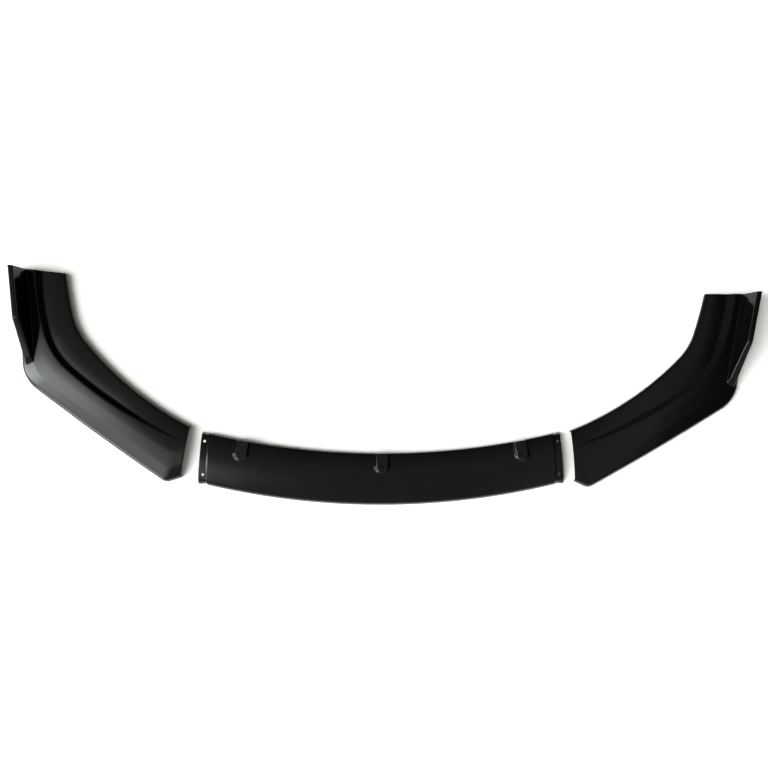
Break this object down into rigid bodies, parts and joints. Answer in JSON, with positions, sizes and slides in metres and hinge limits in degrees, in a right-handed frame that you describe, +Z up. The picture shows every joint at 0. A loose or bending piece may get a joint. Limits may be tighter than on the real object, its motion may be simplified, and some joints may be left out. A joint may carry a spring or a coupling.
{
  "type": "front splitter lip",
  "caption": "Gloss black front splitter lip in moulded sections: a centre blade with pads and joggled end tabs, and handed sides with a tapering step and an upright end fin.",
  "frame": {"origin": "middle of the set's box, on the surface that the sections lie on", "axes": "+X along the car's width, +Y towards the car's rear, +Z up; the sections lie as they would on a bench"},
  "size_m": [1.83, 0.5732, 0.075],
  "materials": {
    "gloss_black_plastic": "high gloss, moulded"
  },
  "bodies": {
    "root": {"left_section": "gloss_black_plastic", "centre_section": "gloss_black_plastic", "right_section": "gloss_black_plastic"}
  },
  "joints": []
}
